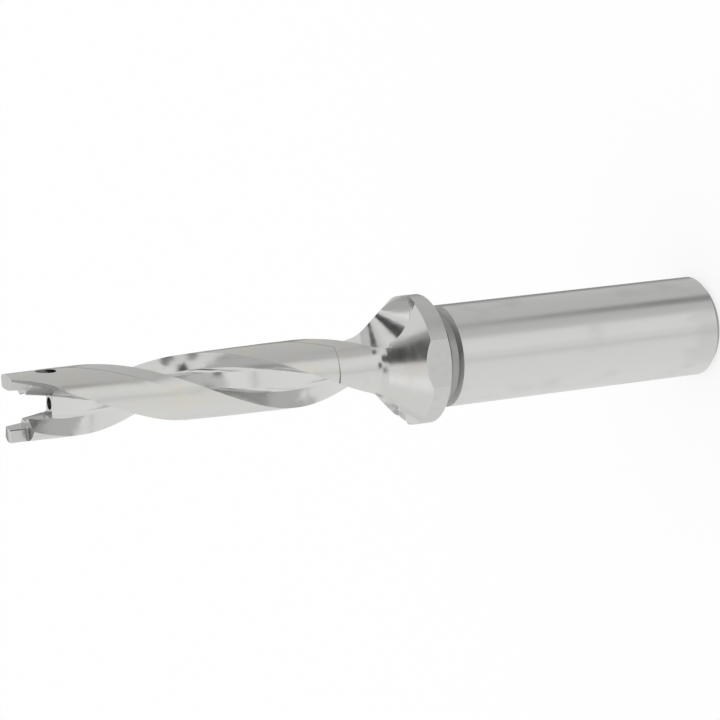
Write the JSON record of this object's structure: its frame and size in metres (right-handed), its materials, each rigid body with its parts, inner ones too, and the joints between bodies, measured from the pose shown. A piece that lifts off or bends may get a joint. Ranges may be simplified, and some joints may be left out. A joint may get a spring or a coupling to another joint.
{
  "type": "indexable drill",
  "caption": "Steel body of an indexable twist drill with a round flanged shank, twisted flutes and an open clamping pocket for an exchangeable cutting head.",
  "frame": {"origin": "centre of the rear face of the shank, which is the bottom of the upright drill", "axes": "+Z runs along the drill from the rear face to the head pocket, +X points to the side that the picture looks at, +Y completes the frame"},
  "size_m": [0.0194, 0.02, 0.1174],
  "materials": {
    "drill_body": "ground and polished hardened steel"
  },
  "bodies": {
    "root": {"drill_body": "drill_body"}
  },
  "joints": []
}
